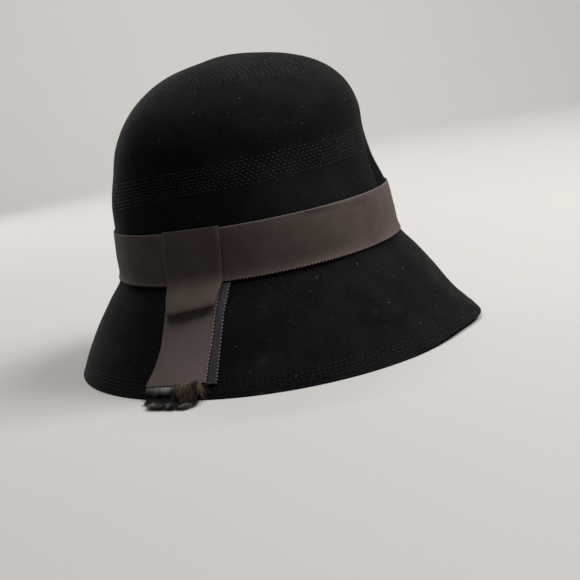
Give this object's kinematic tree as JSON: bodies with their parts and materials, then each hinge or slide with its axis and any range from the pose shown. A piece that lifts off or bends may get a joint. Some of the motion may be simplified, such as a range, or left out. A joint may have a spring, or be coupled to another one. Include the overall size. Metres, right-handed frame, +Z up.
{
  "type": "cloche hat",
  "caption": "Felt cloche hat with a rounded crown, sloping brim, grosgrain ribbon band and a flat side bow whose tails end in frayed threads; open underneath for a head.",
  "frame": {"origin": "middle of the foot of the bounding box, on the plane that the rim rests on", "axes": "+Z up through the crown, the front of the hat towards -Y, the wearer's right and the bow towards -X"},
  "size_m": [0.2762, 0.317, 0.2148],
  "materials": {
    "felt": "black velour felt with rows of topstitching",
    "ribbon": "dark mauve grey grosgrain, ribbed, with a low sheen",
    "threads": "loose frayed ribbon threads"
  },
  "bodies": {
    "root": {"felt_body": "felt", "hat_band": "ribbon", "bow_knot": "ribbon", "bow_tail_front": "ribbon", "bow_tail_back": "ribbon", "frayed_end": "threads"}
  },
  "joints": []
}
